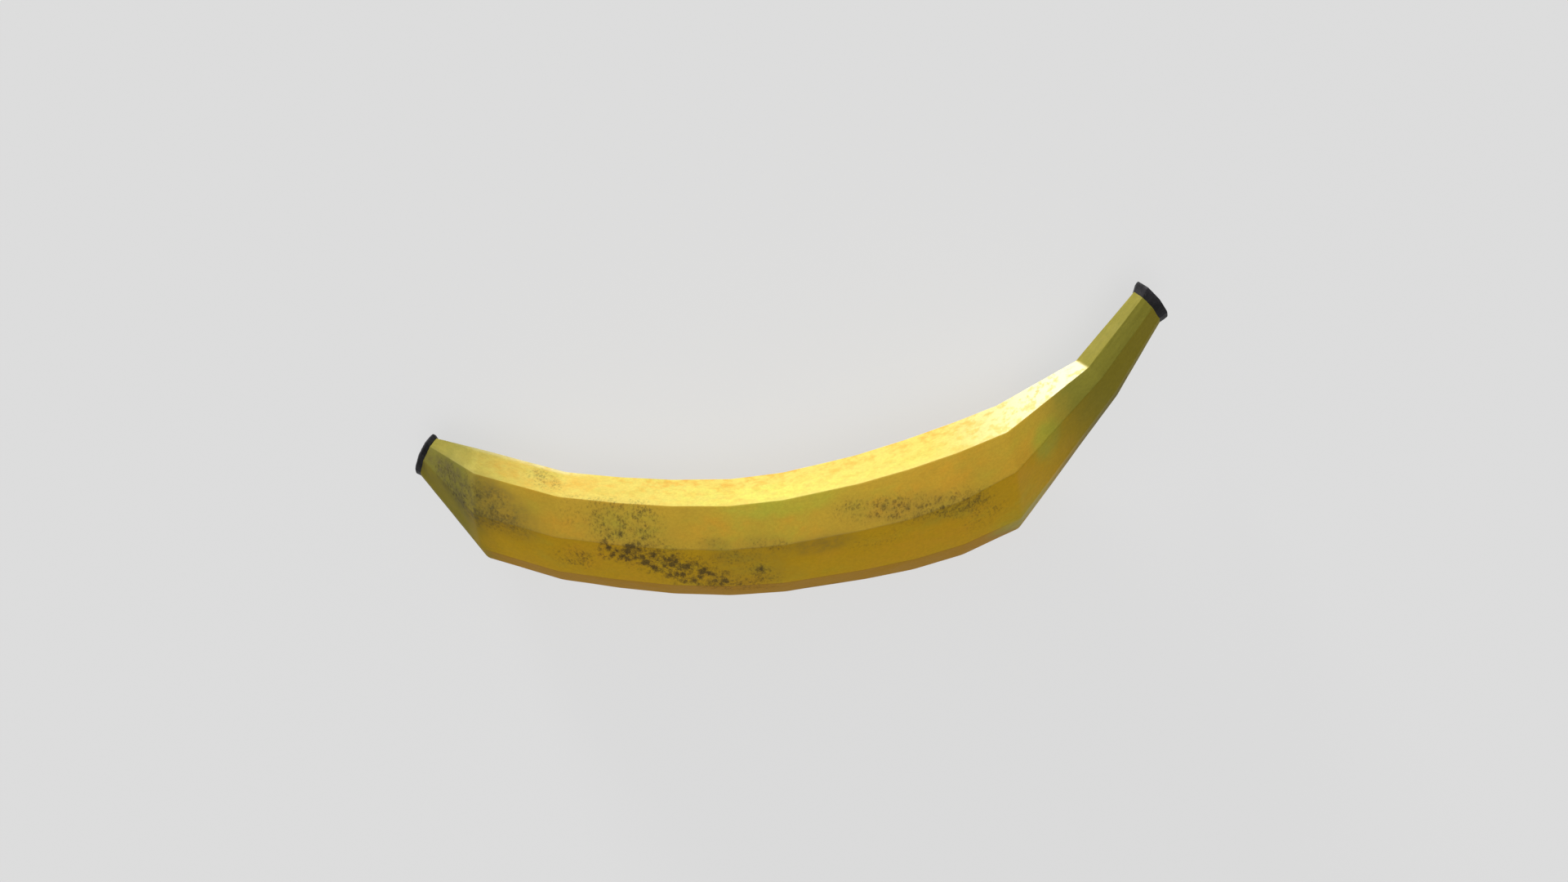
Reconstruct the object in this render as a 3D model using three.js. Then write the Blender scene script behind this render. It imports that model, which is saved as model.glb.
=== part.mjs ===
// A ripe banana lying on its side, one grown solid: eight-sided peel, blunt blossom end, neck,
// stem, and a short flared dry collar at each end.
//
// Millimetres. +X runs along the fruit towards the stem, +Y towards the inside of the bend, +Z up.
// The underside settles flat on z = 0, and the origin is below the middle of the bounding box.

import * as THREE from 'three';
import { LoftGeometry } from 'three/addons/geometries/LoftGeometry.js';

// Stations along the fruit, from the blossom end to the cut stem.
// x, y    where the middle of the section stands
// reach   distance from the middle to the ridges
// turn    degrees that the section leans from +Y towards +X
// rise    height of the middle, left out where the peel rests on the surface
// wander  degrees that the top ridge leans towards the inside of the bend, left out where it keeps
//         its place
// soften  length of peel over which the bend at this station is rounded, on each side of it
const STATIONS = [
  { name: 'blossom rim', x: -104.9, y: -4.1, reach: 6.2, turn: 25, rise: 11.5, soften: 0 },
  { name: 'blossom collar', x: -103.9, y: -5, reach: 5.75, turn: 25, rise: 11.6, soften: 0.3 },
  { name: 'blossom shoulder', x: -87.2, y: -18, reach: 15.6, turn: -2, soften: 0.6 },
  { name: 'lower quarter', x: -64.7, y: -24.4, reach: 15.6, turn: 2, soften: 1.2 },
  { name: 'lower belly', x: -48.4, y: -26.3, reach: 16, turn: 2, soften: 1.2 },
  { name: 'belly start', x: -33.1, y: -27.4, reach: 16.5, turn: 0, soften: 1.2 },
  { name: 'deepest bend', x: -16.9, y: -27.5, reach: 16.8, turn: 0, soften: 1.2 },
  { name: 'middle', x: -1.6, y: -26, reach: 17.2, turn: -1.5, soften: 1.2 },
  { name: 'upper belly', x: 19.9, y: -21.7, reach: 17.9, turn: -4, soften: 1.2 },
  { name: 'upper quarter', x: 33.9, y: -18, reach: 18.6, turn: -4.5, soften: 1.2 },
  { name: 'thickest', x: 47.2, y: -13.6, reach: 18.9, turn: -6, wander: 1.5, soften: 1.2 },
  { name: 'stem shoulder', x: 61.8, y: -7.4, reach: 17.9, turn: -11.5, wander: 5.6, soften: 0.6 },
  { name: 'neck', x: 87.3, y: 17.6, reach: 7.7, turn: -50, rise: 14.6, wander: 6.7, soften: 0.5 },
  { name: 'stem collar', x: 101.6, y: 37.9, reach: 5.65, turn: -42, rise: 14.5, soften: 0.4 },
  { name: 'stem rim', x: 103, y: 40, reach: 6.6, turn: -42, rise: 14.5, soften: 0 },
];

// The eight ridges of a section: angle from the inside of the bend towards the top, in degrees,
// and distance from the middle as a share of the station's reach. The facet between the ridges
// at 240 and 292 degrees looks down, and is the one that the fruit rests on.
const RIDGES = [
  { angle: 9, share: 0.98 },
  { angle: 55.5, share: 1.015 },
  { angle: 98, share: 1 },
  { angle: 147, share: 0.96 },
  { angle: 182, share: 1.04 },
  { angle: 240, share: 1.03 },
  { angle: 292, share: 0.963 },
  { angle: 331, share: 1 },
];
const TOP_RIDGE = 2;
const RESTING_RIDGE_SHARE = 0.892; // depth of the two resting ridges below the middle
const RESTING_RIDGE_GAP = 0.15; // the resting facet's ridges stay this far above the surface
const FACET_CROWN = 0.016; // swell of a facet as a share of its width
const FACET_STEPS = 4;
const BEND_STEPS = 4;
const LONGEST_STEP = 8;

// Rings inside each rim that close the end faces, down to a small flat pip in the middle:
// share of the rim, and how far they stand out.
const BLOSSOM_FACE = [
  { share: 0.82, out: 0.5 },
  { share: 0.5, out: 0.7 },
  { share: 0.3, out: 0.3 },
  { share: 0.14, out: 0.6 },
];
const CUT_STEM_FACE = [
  { share: 0.86, out: 0.1 },
  { share: 0.7, out: -0.5 },
  { share: 0.25, out: -0.9 },
  { share: 0.12, out: -0.6 },
];

const PEEL_COLOUR = 0xc9982c;
const PEEL_ROUGHNESS = 0.5;

// The ridge points of one section in its own plane, as (towards the inside of the bend, up).
function ridgePoints(wander) {
  return RIDGES.map(({ angle, share }, index) => {
    const radians = THREE.MathUtils.degToRad(index === TOP_RIDGE ? angle - wander : angle);
    return new THREE.Vector2(Math.cos(radians), Math.sin(radians)).multiplyScalar(share);
  });
}

// The closed outline of a section of reach 1, with slightly swollen facets between its ridges.
function sectionOutline(wander) {
  const ridges = ridgePoints(wander);
  return ridges.flatMap((ridge, index) => {
    const next = ridges[(index + 1) % ridges.length];
    const outward = new THREE.Vector2(next.y - ridge.y, ridge.x - next.x);
    return Array.from({ length: FACET_STEPS }, (_, step) => {
      const along = step / FACET_STEPS;
      const swell = 4 * FACET_CROWN * along * (1 - along);
      return ridge.clone().lerp(next, along).addScaledVector(outward, swell);
    });
  });
}

// One station's section, standing in the plane of +Z and the direction that the station leans to.
function stationRing(station) {
  const outline = sectionOutline(station.wander ?? 0);
  const turn = THREE.MathUtils.degToRad(station.turn);
  const resting = RESTING_RIDGE_SHARE * station.reach + RESTING_RIDGE_GAP;
  const middle = new THREE.Vector3(station.x, station.y, station.rise ?? resting);
  const inward = new THREE.Vector3(Math.sin(turn), Math.cos(turn), 0);
  const up = new THREE.Vector3(0, 0, 1);
  return outline.map((point) => middle.clone()
    .addScaledVector(inward, point.x * station.reach)
    .addScaledVector(up, point.y * station.reach));
}

function ringCentre(ring) {
  return ring.reduce((sum, point) => sum.add(point), new THREE.Vector3()).divideScalar(ring.length);
}

function ringBetween(from, to, share) {
  return from.map((point, index) => point.clone().lerp(to[index], share));
}

// The ring that lies `length` from one ring on the way to the next.
function ringAlong(from, to, length) {
  return ringBetween(from, to, length / ringCentre(from).distanceTo(ringCentre(to)));
}

// The sections that take the peel round one station's bend.
function bendSections(before, ring, after, soften) {
  const start = ringAlong(ring, before, soften);
  const end = ringAlong(ring, after, soften);
  const curves = ring.map((point, index) => (
    new THREE.QuadraticBezierCurve3(start[index], point, end[index])));
  return Array.from({ length: BEND_STEPS + 1 }, (_, step) => (
    curves.map((curve) => curve.getPoint(step / BEND_STEPS))));
}

// The sections strictly between two rings, evenly spaced.
function straightSections(from, to) {
  const steps = Math.ceil(ringCentre(from).distanceTo(ringCentre(to)) / LONGEST_STEP);
  return Array.from({ length: steps - 1 }, (_, step) => ringBetween(from, to, (step + 1) / steps));
}

// The rings that close an end face, from its rim inwards.
function faceSections(rim, neighbour, face) {
  const centre = ringCentre(rim);
  const outward = centre.clone().sub(ringCentre(neighbour)).normalize();
  return face.map(({ share, out }) => rim.map((point) => (
    centre.clone().lerp(point, share).addScaledVector(outward, out))));
}

function bananaSections() {
  const rings = STATIONS.map(stationRing);
  const last = rings.length - 1;
  const sections = faceSections(rings[0], rings[1], BLOSSOM_FACE).reverse();
  sections.push(rings[0]);
  for (let index = 1; index < last; index += 1) {
    const { soften } = STATIONS[index];
    const bend = bendSections(rings[index - 1], rings[index], rings[index + 1], soften);
    sections.push(...straightSections(sections[sections.length - 1], bend[0]), ...bend);
  }
  sections.push(rings[last], ...faceSections(rings[last], rings[last - 1], CUT_STEM_FACE));
  return sections;
}

// The weight of the fruit presses what would reach below the surface flat.
function settle(sections) {
  sections.flat().forEach((point) => {
    point.z = Math.max(point.z, 0);
  });
  return sections;
}

function banana() {
  const sections = settle(bananaSections());
  const peel = new THREE.MeshStandardMaterial({
    color: PEEL_COLOUR,
    roughness: PEEL_ROUGHNESS,
    metalness: 0,
  });
  const mesh = new THREE.Mesh(new LoftGeometry(sections, { capStart: true, capEnd: true }), peel);
  mesh.name = 'banana';
  return mesh;
}

const part = new THREE.Group();
part.add(banana());

export default part;
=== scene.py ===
"""A ripe banana lying on its side: the ridged peel, the dry stem end, the blossom end and a pale stage.

Sizes in the tables are millimetres. Everything Blender holds is metres, in the frame of the solid.
"""

import math

import bpy
import numpy as np
from bpy.props import FloatProperty, FloatVectorProperty, IntProperty, PointerProperty
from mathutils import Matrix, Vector, noise


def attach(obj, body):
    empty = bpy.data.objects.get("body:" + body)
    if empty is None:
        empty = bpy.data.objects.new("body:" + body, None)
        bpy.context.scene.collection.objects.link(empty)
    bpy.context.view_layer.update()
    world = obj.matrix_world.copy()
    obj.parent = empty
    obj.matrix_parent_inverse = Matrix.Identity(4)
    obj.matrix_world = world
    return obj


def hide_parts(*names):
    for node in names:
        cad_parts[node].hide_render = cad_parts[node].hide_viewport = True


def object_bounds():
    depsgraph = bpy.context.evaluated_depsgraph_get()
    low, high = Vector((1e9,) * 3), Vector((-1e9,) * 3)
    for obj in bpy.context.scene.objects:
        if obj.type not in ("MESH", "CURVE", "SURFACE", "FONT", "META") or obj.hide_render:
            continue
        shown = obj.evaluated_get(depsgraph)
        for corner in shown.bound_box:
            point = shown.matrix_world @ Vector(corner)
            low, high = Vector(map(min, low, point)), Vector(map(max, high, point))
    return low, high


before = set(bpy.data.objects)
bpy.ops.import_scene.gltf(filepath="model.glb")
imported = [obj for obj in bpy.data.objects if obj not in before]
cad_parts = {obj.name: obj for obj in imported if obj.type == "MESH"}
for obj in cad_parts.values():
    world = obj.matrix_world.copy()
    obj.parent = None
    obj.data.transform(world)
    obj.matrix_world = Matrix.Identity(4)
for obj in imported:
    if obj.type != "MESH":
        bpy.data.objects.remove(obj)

SOLID_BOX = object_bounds()

bl_info = {
    "name": "Banana",
    "version": (1, 0, 0),
    "blender": (4, 5, 0),
    "location": "3D View > Sidebar > Banana",
    "description": "Builds a ripe banana lying on its side, with its stage",
    "category": "Add Mesh",
}

NODE = "banana"
BODY = "root"
MM = 0.001  # one millimetre in metres

# ---- The fruit's form, the same as the solid's ----

# Stations along the fruit, from the blossom end to the cut stem:
# middle x, middle y, reach of the ridges, turn in degrees from +Y towards +X, height of the middle
# (None where the peel rests), degrees that the top ridge wanders towards the inside of the bend,
# and how far to each side of the station the bend is rounded.
STATIONS = (
    ("blossom rim", -104.9, -4.1, 6.2, 25, 11.5, 0, 0),
    ("blossom collar", -103.9, -5, 5.75, 25, 11.6, 0, 0.3),
    ("blossom shoulder", -87.2, -18, 15.6, -2, None, 0, 0.6),
    ("lower quarter", -64.7, -24.4, 15.6, 2, None, 0, 1.2),
    ("lower belly", -48.4, -26.3, 16, 2, None, 0, 1.2),
    ("belly start", -33.1, -27.4, 16.5, 0, None, 0, 1.2),
    ("deepest bend", -16.9, -27.5, 16.8, 0, None, 0, 1.2),
    ("middle", -1.6, -26, 17.2, -1.5, None, 0, 1.2),
    ("upper belly", 19.9, -21.7, 17.9, -4, None, 0, 1.2),
    ("upper quarter", 33.9, -18, 18.6, -4.5, None, 0, 1.2),
    ("thickest", 47.2, -13.6, 18.9, -6, None, 1.5, 1.2),
    ("stem shoulder", 61.8, -7.4, 17.9, -11.5, None, 5.6, 0.6),
    ("neck", 87.3, 17.6, 7.7, -50, 14.6, 6.7, 0.5),
    ("stem collar", 101.6, 37.9, 5.65, -42, 14.5, 0, 0.4),
    ("stem rim", 103, 40, 6.6, -42, 14.5, 0, 0),
)
BLOSSOM_RIM, BLOSSOM_COLLAR = 0, 1
STEM_COLLAR, STEM_RIM = 13, 14

# The eight ridges of a section: angle in degrees from the inside of the bend towards the top,
# and distance from the middle as a share of the reach.
RIDGES = (
    (9, 0.98),
    (55.5, 1.015),
    (98, 1.0),
    (147, 0.96),
    (182, 1.04),
    (240, 1.03),
    (292, 0.963),
    (331, 1.0),
)
TOP_RIDGE = 2

# Facets of the section, each numbered like the ridge that it follows.
INNER_UPPER, INNER_LOWER = 0, 7
OUTER_UPPER, OUTER_LOWER, OUTER_UNDER = 2, 3, 4

# Where the peel rests: how far its two lowest ridges lie below the middle as a share of the reach,
# and how high they stand above the surface. The facet between them swells down to it.
RESTING_RIDGE_SHARE = 0.892
RESTING_RIDGE_GAP = 0.15

# Ripening marks, and some painted shade. Each is an oval on the peel: distance from the blossom
# rim, place round the section (1.5 is half way from ridge 1 to ridge 2, and the ridges count
# from 0), half length, half width in ridges, slant (ridges per millimetre along), and strength.

FINE_SPECKS = (
    (14, 1.7, 12, 0.75, 0.02, 0.7),
    (24, 1.7, 13, 0.65, 0.02, 0.7),
    (31, 2.0, 10, 0.4, 0.01, 0.6),
    (41, 0.5, 8, 0.4, 0.02, 0.85),
    (39, 0.12, 3, 0.08, 0, 0.6),
    (62, 1.4, 10, 0.65, 0, 0.9),
    (50, 1.35, 6, 0.4, 0, 0.45),
    (70, 1.45, 7, 0.6, 0, 0.85),
    (51, 2.5, 8, 0.4, 0, 0.75),
    (60, 0.93, 16, 0.16, 0, 0.75),
    (78, 2.4, 26, 0.65, 0.03, 0.95),
    (102, 2.75, 8, 0.45, 0.01, 0.75),
    (98, 3.2, 14, 0.3, 0, 0.7),
    (96, 2.25, 10, 0.35, 0, 0.55),
    (90, 1.86, 6, 0.2, 0, 0.5),
    (105, 1.95, 9, 0.22, 0.01, 0.6),
    (129, 1.55, 8, 0.33, 0.018, 0.8),
    (143, 1.75, 13, 0.36, 0.018, 0.95),
    (158, 2.03, 12, 0.36, 0.018, 0.95),
    (166, 2.5, 8, 0.35, 0, 0.6),
    (135, 2.3, 10, 0.25, 0, 0.45),
    (192, 0.4, 12, 0.4, 0, 0.5),
    (44, 4.4, 18, 0.5, 0.01, 0.8),
    (84, 4.7, 22, 0.5, -0.01, 0.7),
    (128, 4.3, 20, 0.5, 0.015, 0.85),
    (160, 4.9, 14, 0.5, 0, 0.7),
    (30, 5.4, 14, 0.6, 0, 0.6),
    (112, 5.5, 26, 0.6, 0.01, 0.6),
    (55, 6.5, 18, 0.6, 0, 0.8),
    (120, 6.9, 26, 0.5, 0, 0.7),
    (165, 6.4, 14, 0.5, 0, 0.7),
    (150, 7.3, 14, 0.4, 0, 0.5),
)
DARK_CLOTS = (
    (60.5, 2.15, 4.5, 0.3, 0, 1.0),
    (60, 1.9, 3, 0.2, 0, 0.6),
    (67, 1.76, 6, 0.34, 0.01, 0.8),
    (66, 2.18, 6, 0.36, 0.01, 1.12),
    (73, 2.36, 7, 0.4, 0.02, 1.15),
    (80, 2.52, 7, 0.48, 0.02, 1.12),
    (86, 2.68, 6, 0.42, 0.02, 1.05),
    (92, 2.8, 4.5, 0.3, 0.02, 1.0),
    (97, 2.9, 4, 0.18, 0, 0.55),
    (53, 2.5, 3, 0.25, 0, 0.7),
    (103, 2.6, 2.5, 0.22, 0, 0.9),
    (26, 1.95, 4, 0.25, 0.01, 0.36),
    (158, 2.05, 12, 0.24, 0.018, 0.58),
    (141, 1.76, 11, 0.24, 0.018, 0.6),
    (60, 6.4, 9, 0.4, 0.02, 1.0),
    (132, 6.8, 10, 0.35, 0.02, 0.9),
    (47, 4.45, 8, 0.25, 0.01, 0.75),
    (126, 4.3, 9, 0.22, 0.015, 0.85),
    (158, 5.2, 6, 0.3, 0, 0.8),
    (88, 6.1, 6, 0.3, 0, 0.7),
)
GREY_HAZE_AND_SHADE = (
    (14, 1.68, 15, 0.72, 0.02, 1.1),
    (2, 2.1, 9, 0.85, 0, 0.45),
    (28, 1.68, 13, 0.66, 0.02, 0.8),
    (66, 1.6, 14, 0.7, 0.02, 0.15),
    (95, 2.2, 9, 0.3, 0, 0.35),
    (90, 1.88, 5, 0.18, 0, 0.35),
    (104, 2.1, 10, 0.4, 0.01, 0.3),
    (119, 2.14, 11, 0.24, 0, 0.5),
    (100, 2.7, 14, 0.4, 0, 0.25),
    (146, 1.82, 22, 0.38, 0.018, 0.3),
    # These two are painted shade: they darken the lower outside facet near the stem.
    (177, 3.55, 10, 0.6, 0, 0.5),
    (203, 3.75, 26, 0.6, 0, 0.75),
    (60, 6.5, 20, 0.7, 0, 0.4),
    (128, 4.5, 24, 0.5, 0.01, 0.45),
    (46, 4.6, 18, 0.5, 0.01, 0.35),
    (18, 4.8, 14, 0.9, 0, 0.8),
    (140, 6.7, 16, 0.5, 0, 0.35),
)
GREEN_PATCHES = (
    (66, 1.5, 15, 0.6, 0, 0.6),
    (108, 1.1, 26, 0.45, 0, 0.9),
    (104, 1.6, 22, 0.5, 0, 0.6),
    (98, 2.3, 14, 0.5, 0, 0.3),
    (178, 3.35, 15, 0.65, 0.012, 0.85),
    (188, 1.95, 7, 0.65, 0, 1.0),
    (186, 3.3, 8, 0.5, 0, 0.5),
    (203, 1.4, 10, 0.8, 0, 0.15),
    (8, 0.4, 14, 0.7, 0, 0.35),
    (112, 4.9, 20, 0.5, 0, 0.5),
    (62, 4.6, 12, 0.5, 0, 0.4),
    (195, 5.5, 16, 1.2, 0, 0.5),
    (22, 5.8, 12, 1.1, 0, 0.4),
)
ORANGE_CLOUDS = (
    (92, 1.55, 9, 0.4, 0, 0.7),
    (113, 1.65, 8, 0.4, 0, 0.6),
    (48, 1.7, 8, 0.4, 0, 0.5),
    (38, 0.5, 24, 0.6, 0, 0.8),
    (140, 1.5, 10, 0.4, 0, 0.7),
    (158, 1.4, 12, 0.5, 0, 0.5),
    (176, 1.7, 8, 0.5, 0, 0.35),
    (196, 2.4, 7, 0.5, 0, 0.15),
    (55, 2.3, 9, 0.4, 0, 0.4),
    (150, 2.6, 20, 0.5, 0, 0.35),
    (90, 4.5, 20, 0.5, 0, 0.6),
    (150, 4.6, 14, 0.5, 0, 0.6),
    (70, 5.6, 22, 0.5, 0, 0.5),
    (150, 6.4, 20, 0.6, 0, 0.6),
    (120, 7.4, 24, 0.4, 0, 0.5),
)
LEMON_PATCHES = (
    (106, 0.75, 30, 0.45, 0, 1.0),
    (88, 0.6, 14, 0.4, 0, 0.6),
    (140, 0.7, 16, 0.4, 0, 0.5),
)

# Shallow dents from handling: distance along, place round, radius and depth.
DENTS = (
    (36, 2.3, 4.5, 0.16),
    (84, 1.4, 5.5, 0.14),
    (121, 2.7, 5, 0.18),
    (152, 1.3, 4, 0.12),
    (98, 0.5, 4, 0.12),
    (66, 3.4, 3.5, 0.15),
    (140, 7.2, 6, 0.2),
    (60, 6.8, 5, 0.2),
)

# Profiles of the end faces, from just inside the rim to the middle: share of the rim,
# and how far the face stands out there.
BLOSSOM_FACE = (
    (0.97, 0.12), (0.9, 0.32), (0.82, 0.5), (0.66, 0.64), (0.5, 0.7),
    (0.4, 0.55), (0.3, 0.3), (0.2, 0.42), (0.14, 0.6), (0.06, 0.66),
)
STEM_FACE = (
    (0.97, 0.12), (0.92, 0.16), (0.86, 0.1), (0.8, -0.16), (0.7, -0.5),
    (0.55, -0.66), (0.4, -0.8), (0.25, -0.9), (0.12, -0.6), (0.05, -0.55),
)


def display(red, green, blue):
    """A colour as seen on a display, 0 to 255, as the linear values that Blender works in."""
    shares = (channel / 255 for channel in (red, green, blue))
    return tuple(s / 12.92 if s <= 0.04045 else ((s + 0.055) / 1.055) ** 2.4 for s in shares)


# ---- Sizes and colours that a user would change ----

def colour_property(name, description, *shades):
    """A colour given as seen on a display."""
    return FloatVectorProperty(
        name=name, description=description, default=display(*shades), subtype="COLOR", size=3,
        min=0, max=1)


def depth_property(name, description, default):
    return FloatProperty(
        name=name, description=description, default=default, unit="LENGTH", subtype="DISTANCE",
        min=0, max=0.001, precision=5)


def strength_property(name, description, default, largest):
    return FloatProperty(name=name, description=description, default=default, min=0, max=largest)


def angle_property(name, description, degrees, least, largest):
    return FloatProperty(
        name=name, description=description, default=math.radians(degrees), unit="ROTATION",
        subtype="ANGLE", min=math.radians(least), max=math.radians(largest))


class BananaPeelSettings(bpy.types.PropertyGroup):
    steps_along: IntProperty(
        name="Rings", description="Rings of peel along the fruit", default=500, min=60, max=515)
    steps_round: IntProperty(
        name="Points a facet", description="Points on each of the eight facets", default=24, min=6, max=24)
    facet_crown: FloatProperty(
        name="Facet swell", description="Swell of a facet as a share of its width", default=0.016,
        min=0, max=0.1)
    ridge_rounding: FloatProperty(
        name="Ridge rounding", description="Share of a facet that a ridge's rounding takes on each side",
        default=0.025, min=0.01, max=0.4)
    waviness: depth_property("Waviness", "Slow rise and fall of the peel", 0.00008)
    groove_depth: depth_property("Stem grooves", "Depth of the grooves along the neck and stem", 0.00005)
    pore_depth: depth_property("Pore depth", "Depth of the fine pores and fibres", 0.00002)
    gold: colour_property("Gold", "Peel on top of the fruit", 186, 151, 44)
    deep: colour_property("Deep gold", "Peel round the outside of the bend", 193, 151, 8)
    # Lemon is partly painted light: it makes the inside of the bend, which faces the side light, lighter
    # than the rest of the peel.
    lemon: colour_property("Lemon", "Peel on the inside of the bend", 216, 196, 92)
    bright: colour_property("Bright lemon", "Brightest clouds on the inside of the bend", 215, 208, 93)
    # The pale colour is a waxy bloom near the neck that is partly a painted highlight, and a painted
    # highlight along ridge 0 near the blossom.
    pale: colour_property("Pale wax", "Waxy bloom near the neck", 246, 236, 190)
    orange: colour_property("Orange", "Mottling and warm clouds", 214, 146, 34)
    green: colour_property("Green", "Patches that are still green", 166, 166, 50)
    olive: colour_property("Olive", "Neck, stem and blossom end", 122, 116, 36)
    dusk: colour_property("Dark olive", "Both ends round the outside of the bend", 134, 121, 30)
    russet: colour_property("Russet", "Brownish edge of the belly", 168, 123, 8)
    # This colour is a dull bruised tone, and also painted shade on the lower outside facet near the stem.
    haze_and_shade: colour_property("Grey haze", "Dull bruised haze", 94, 85, 46)
    speck: colour_property("Specks", "Ripening specks", 50, 41, 26)
    roughness: FloatProperty(
        name="Roughness", description="Roughness of the waxy skin", default=0.5, min=0.05, max=1,
        subtype="FACTOR")


class BananaEndSettings(bpy.types.PropertyGroup):
    lip: depth_property("Lip", "How far a dry collar stands proud of the peel", 0.00015)
    crack_depth: depth_property("Crack depth", "Depth of the cracks along the dry collars", 0.0001)
    dry: colour_property("Dry skin", "Main colour of the dry ends", 31, 29, 34)
    dust: colour_property("Dust", "Paler fibres of the dry ends", 72, 69, 71)
    soot: colour_property("Soot", "Darkest hollows of the dry ends", 14, 13, 16)
    roughness: FloatProperty(
        name="Roughness", description="Roughness of the dry ends", default=0.62, min=0.05, max=1,
        subtype="FACTOR")


class BananaStageSettings(bpy.types.PropertyGroup):
    floor: colour_property("Floor", "Colour of the pale floor", 110, 110, 110)
    floor_glow: strength_property("Floor glow", "Light that the floor gives by itself", 0.62, 1)
    horizon: strength_property("Horizon", "Brightness of the surround near the floor", 0.72, 4)
    sky: strength_property("Sky", "Brightness of the surround above", 0.27, 4)
    side_light: strength_property("Side light", "Soft light at the inside of the bend", 4.7, 50)
    side_light_height: angle_property(
        "Side light height", "Angle of the side light above the floor", 3, 0, 90)
    side_light_turn: angle_property(
        "Side light turn", "Turn of the side light from +Y towards -X", 28, -180, 180)
    top_light: strength_property("Top light", "Wide soft light above", 0.88, 50)
    top_light_height: angle_property(
        "Top light height", "Angle of the top light above the floor", 70, 0, 90)
    lens: FloatProperty(
        name="Lens", description="Focal length on a 36 mm sensor", default=33.75, min=10, max=200)
    distance: FloatProperty(
        name="Camera distance", description="Camera to the middle of the fruit's depth", default=0.4186,
        unit="LENGTH", subtype="DISTANCE", min=0.1, max=5)
    lean: angle_property(
        "Camera lean", "Lean of the camera towards the inside of the bend", 3, -90, 90)
    aim: FloatVectorProperty(
        name="Aim", description="Point that the camera looks at", default=(-0.0016, -0.0005, 0.016),
        unit="LENGTH", subtype="XYZ", size=3)


# ---- Form ----

RIDGE_CROWDING = 0.75  # how much closer together the points stand near a ridge, from 0 to 1
SHORTEST_NORMAL = 1e-9
OCTAVE_SMOOTHNESS = 1.0  # each finer octave of the grain is half as strong
OCTAVE_STEP = 2.0  # and half as large as the one before
OVAL_FADES = (0.35, 1.3)  # a mark fades out between these shares of its size


def bezier(start, middle, end, share):
    """A point on the curve from start to end that bends towards the middle."""
    return (1 - share) ** 2 * start + 2 * share * (1 - share) * middle + share ** 2 * end


def facet_point(corners, facet, share, crown):
    """A point on one facet of the section, share of the way from its first ridge to the next."""
    first, second = corners[facet % len(corners)], corners[(facet + 1) % len(corners)]
    outward = np.array((second[1] - first[1], first[0] - second[0]))
    return first + (second - first) * share + outward * 4 * crown * share * (1 - share)


def ridge_corners(wander):
    """The ridges of a section at reach 1, with the top ridge moved by some degrees."""
    angles = [math.radians(angle) for angle, _share in RIDGES]
    angles[TOP_RIDGE] -= math.radians(wander)
    return [share * np.array((math.cos(angle), math.sin(angle)))
            for angle, (_angle, share) in zip(angles, RIDGES)]


def section_outline(steps, crown, rounding, wander=0.0):
    """The section at reach 1: its points, and each point's place round it in ridges."""
    corners = ridge_corners(wander)
    points, places = [], []
    for facet in range(len(corners)):
        for step in range(steps):
            turn = 2 * math.pi * step / steps
            share = (turn - RIDGE_CROWDING * math.sin(turn)) / (2 * math.pi)
            places.append(facet + share)
            if rounding <= share <= 1 - rounding:
                points.append(facet_point(corners, facet, share, crown))
                continue
            ridge = facet if share < rounding else facet + 1
            offset = share if share < rounding else share - 1
            points.append(bezier(
                facet_point(corners, ridge - 1, 1 - rounding, crown),
                corners[ridge % len(corners)],
                facet_point(corners, ridge, rounding, crown),
                0.5 + offset / (2 * rounding)))
    return np.array(points), np.array(places)


def station_rings(steps, crown, rounding):
    """Every station's section as points in millimetres, and its distance from the blossom rim."""
    rings, along = [], []
    for _name, x, y, reach, turn, height, wander, _soften in STATIONS:
        outline, _places = section_outline(steps, crown, rounding, wander)
        resting = RESTING_RIDGE_SHARE * reach + RESTING_RIDGE_GAP
        middle = np.array((x, y, resting if height is None else height))
        inward = np.array((math.sin(math.radians(turn)), math.cos(math.radians(turn)), 0))
        up = np.array((0, 0, 1))
        rings.append(middle + reach * (outline[:, :1] * inward + outline[:, 1:] * up))
        step = np.linalg.norm(rings[-1].mean(0) - rings[-2].mean(0)) if len(rings) > 1 else 0
        along.append(along[-1] + step if along else 0)
    return np.array(rings), np.array(along)


def station_weights(distance, along):
    """How much each station's section counts at a distance from the blossom rim."""
    weights = np.zeros(len(along))
    for index in range(1, len(along) - 1):
        soften = STATIONS[index][-1]
        if abs(distance - along[index]) < soften:
            share = (distance - along[index] + soften) / (2 * soften)
            before = soften / (along[index] - along[index - 1])
            after = soften / (along[index + 1] - along[index])
            start, end = (1 - share) ** 2, share ** 2
            weights[index - 1] = start * before
            weights[index] = start * (1 - before) + 2 * share * (1 - share) + end * (1 - after)
            weights[index + 1] = end * after
            return weights
    index = min(int(np.searchsorted(along, distance, side="right")) - 1, len(along) - 2)
    share = (distance - along[index]) / (along[index + 1] - along[index])
    weights[index], weights[index + 1] = 1 - share, share
    return weights


class Form:
    """The fruit's surface without its fine relief, for any distances along it."""

    def __init__(self, peel):
        shape = peel.steps_round, peel.facet_crown, peel.ridge_rounding
        self.outline, self.places = section_outline(*shape)
        self.rings, self.along = station_rings(*shape)
        self.reaches = np.array([reach for _name, _x, _y, reach, *_rest in STATIONS])

    def surface(self, distances):
        weights = np.array([station_weights(d, self.along) for d in distances])
        points = np.einsum("dk,kpc->dpc", weights, self.rings)
        return points, weights @ self.reaches

    def straightened(self, distances, reaches):
        """The same points as if the fruit were straight, so that grain can run along it."""
        grown = np.empty((len(distances), len(self.outline), 3))
        grown[:, :, 0] = np.asarray(distances)[:, None]
        grown[:, :, 1:] = reaches[:, None, None] * self.outline
        return grown


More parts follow.
